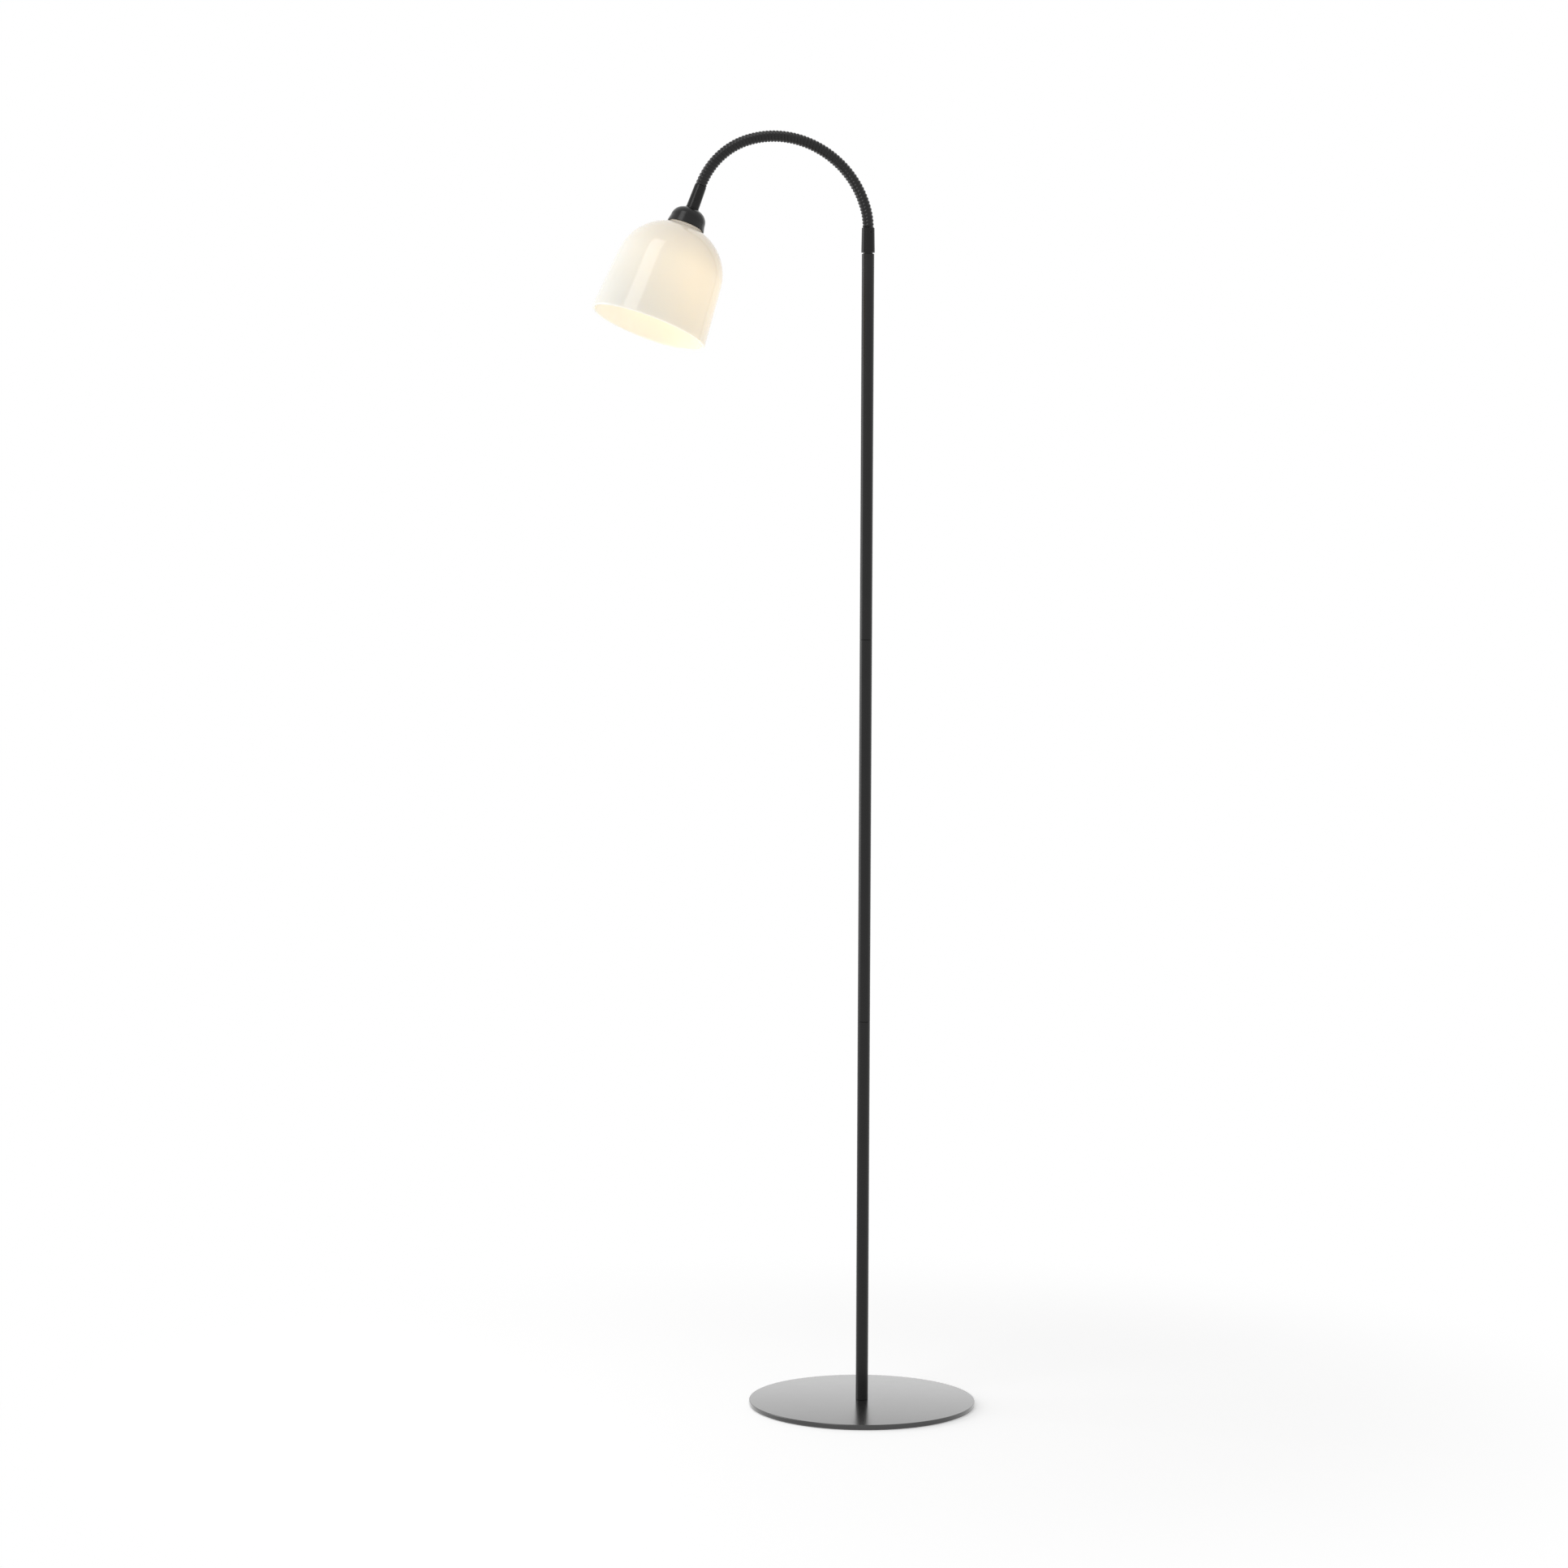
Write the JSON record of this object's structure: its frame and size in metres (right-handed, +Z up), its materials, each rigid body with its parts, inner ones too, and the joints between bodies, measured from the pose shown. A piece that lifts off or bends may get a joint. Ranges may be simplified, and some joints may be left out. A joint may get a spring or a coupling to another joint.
{
  "type": "gooseneck reading floor lamp",
  "caption": "Floor lamp with a round base, slim upright pole, ribbed gooseneck arched over to one side and a downward opal glass bell shade under a domed cap.",
  "frame": {"origin": "centre of the underside of the base pad, on the axis of the pole", "axes": "+Z up along the pole; +X to the right and +Y away from the viewer of the picture; the gooseneck leans out towards -X and a little towards -Y"},
  "size_m": [0.4004, 0.2683, 1.3279],
  "materials": {
    "powder_coat": "satin black powder coat, fine texture",
    "black_hose": "satin black coated wound steel",
    "bare_steel": "zinc-plated steel",
    "opal_glass": "glossy opal cased glass",
    "bulb_opal": "frosted bulb glass",
    "brass": "plain brass",
    "holder_plastic": "matt black moulded thermoplastic",
    "ceramic": "unglazed white ceramic",
    "black_rubber": "matt black rubber",
    "pad": "matt dark foam rubber",
    "lead_sheath": "matt black flexible sheath"
  },
  "bodies": {
    "root": {"base_pad": "pad", "base_plate": "powder_coat", "foot_washer": "bare_steel", "foot_nut": "bare_steel", "foot_threaded_tube": "bare_steel", "foot_insert": "bare_steel", "pole_lower": "powder_coat", "pole_middle": "powder_coat", "pole_upper": "powder_coat", "lower_joint_spigot": "bare_steel", "upper_joint_spigot": "bare_steel", "pole_top_bush": "brass", "outlet_grommet": "black_rubber", "pole_lead": "lead_sheath"},
    "swivel": {"swivel_neck": "powder_coat", "swivel_retaining_ring": "bare_steel", "pole_ferrule": "powder_coat", "pole_ferrule_screw": "powder_coat", "gooseneck_section_01": "black_hose", "gooseneck_lead": "lead_sheath"},
    "hose_02": {"gooseneck_section_02": "black_hose"},
    "hose_03": {"gooseneck_section_03": "black_hose"},
    "hose_04": {"gooseneck_section_04": "black_hose"},
    "hose_05": {"gooseneck_section_05": "black_hose"},
    "hose_06": {"gooseneck_section_06": "black_hose"},
    "hose_07": {"gooseneck_section_07": "black_hose"},
    "hose_08": {"gooseneck_section_08": "black_hose"},
    "hose_09": {"gooseneck_section_09": "black_hose"},
    "hose_10": {"gooseneck_section_10": "black_hose"},
    "hose_11": {"gooseneck_section_11": "black_hose"},
    "hose_12": {"gooseneck_section_12": "black_hose"},
    "hose_13": {"gooseneck_section_13": "black_hose"},
    "head": {"gooseneck_section_14": "black_hose", "head_ferrule": "powder_coat", "head_ferrule_screws": "powder_coat", "head_threaded_tube": "bare_steel", "cap_collar_ring": "powder_coat", "cap": "powder_coat", "cap_washer": "bare_steel", "cap_nut": "bare_steel", "lampholder_body": "holder_plastic", "lampholder_core": "ceramic", "lampholder_shell": "brass", "lampholder_contact": "brass", "terminal_screws": "brass", "head_lead": "lead_sheath", "shade_gasket": "black_rubber", "shade": "opal_glass", "shade_ring": "holder_plastic", "bulb_insulator": "ceramic", "bulb_cap": "bare_steel", "bulb_glass": "bulb_opal"}
  },
  "joints": [
    {"name": "gooseneck_swivel", "type": "hinge", "parent": "root", "child": "swivel", "pos_m": [0, 0, 1.206], "axis": [0, 0, 1], "range_deg": [-165, 165]},
    {"name": "gooseneck_lower_bend", "type": "hinge", "parent": "swivel", "child": "hose_02", "pos_m": [-0.00232, -0.00093, 1.25102], "axis": [0.3697, -0.9291, 0], "range_deg": [-15.88, 4], "deforming": ["gooseneck_lead"]},
    {"name": "link_02_bend", "type": "hinge", "parent": "hose_02", "child": "hose_03", "pos_m": [-0.0085, -0.00338, 1.26798], "axis": [0.3697, -0.9291, 0], "range_deg": [-15.88, 4]},
    {"name": "gooseneck_sideways", "type": "hinge", "parent": "hose_03", "child": "hose_04", "pos_m": [-0.01762, -0.00701, 1.28333], "axis": [-0.7302, -0.2906, -0.6184], "range_deg": [-17, 17]},
    {"name": "link_04_bend", "type": "hinge", "parent": "hose_04", "child": "hose_05", "pos_m": [-0.02934, -0.01168, 1.29649], "axis": [0.3697, -0.9291, 0], "range_deg": [-15.88, 4]},
    {"name": "link_05_bend", "type": "hinge", "parent": "hose_05", "child": "hose_06", "pos_m": [-0.0431, -0.01715, 1.30711], "axis": [0.3697, -0.9291, 0], "range_deg": [-15.88, 4]},
    {"name": "link_06_bend", "type": "hinge", "parent": "hose_06", "child": "hose_07", "pos_m": [-0.05835, -0.02322, 1.31503], "axis": [0.3697, -0.9291, 0], "range_deg": [-15.88, 4]},
    {"name": "link_07_side", "type": "hinge", "parent": "hose_07", "child": "hose_08", "pos_m": [-0.07465, -0.02971, 1.32001], "axis": [-0.1757, -0.0699, -0.982], "range_deg": [-17, 17]},
    {"name": "gooseneck_upper_bend", "type": "hinge", "parent": "hose_08", "child": "hose_09", "pos_m": [-0.09149, -0.03641, 1.3219], "axis": [0.3697, -0.9291, 0], "range_deg": [-15.88, 4]},
    {"name": "link_09_bend", "type": "hinge", "parent": "hose_09", "child": "hose_10", "pos_m": [-0.10839, -0.04313, 1.32064], "axis": [0.3697, -0.9291, 0], "range_deg": [-15.88, 4]},
    {"name": "link_10_bend", "type": "hinge", "parent": "hose_10", "child": "hose_11", "pos_m": [-0.12483, -0.04968, 1.31628], "axis": [0.3697, -0.9291, 0], "range_deg": [-15.88, 4]},
    {"name": "link_11_side", "type": "hinge", "parent": "hose_11", "child": "hose_12", "pos_m": [-0.14016, -0.05578, 1.30856], "axis": [0.4827, 0.1921, -0.8545], "range_deg": [-17, 17]},
    {"name": "link_12_bend", "type": "hinge", "parent": "hose_12", "child": "hose_13", "pos_m": [-0.15358, -0.06112, 1.29746], "axis": [0.3697, -0.9291, 0], "range_deg": [-15.88, 4]},
    {"name": "link_13_bend", "type": "hinge", "parent": "hose_13", "child": "head", "pos_m": [-0.16444, -0.06544, 1.2835], "axis": [0.3697, -0.9291, 0], "range_deg": [-15.88, 4]}
  ],
  "couplings": [
    {"joint": "link_02_bend", "follows": "gooseneck_lower_bend", "ratio": 1},
    {"joint": "link_04_bend", "follows": "gooseneck_lower_bend", "ratio": 1},
    {"joint": "link_05_bend", "follows": "gooseneck_lower_bend", "ratio": 1},
    {"joint": "link_06_bend", "follows": "gooseneck_lower_bend", "ratio": 1},
    {"joint": "link_07_side", "follows": "gooseneck_sideways", "ratio": 1},
    {"joint": "link_09_bend", "follows": "gooseneck_upper_bend", "ratio": 1},
    {"joint": "link_10_bend", "follows": "gooseneck_upper_bend", "ratio": 1},
    {"joint": "link_11_side", "follows": "gooseneck_sideways", "ratio": 1},
    {"joint": "link_12_bend", "follows": "gooseneck_upper_bend", "ratio": 1},
    {"joint": "link_13_bend", "follows": "gooseneck_upper_bend", "ratio": 1}
  ]
}
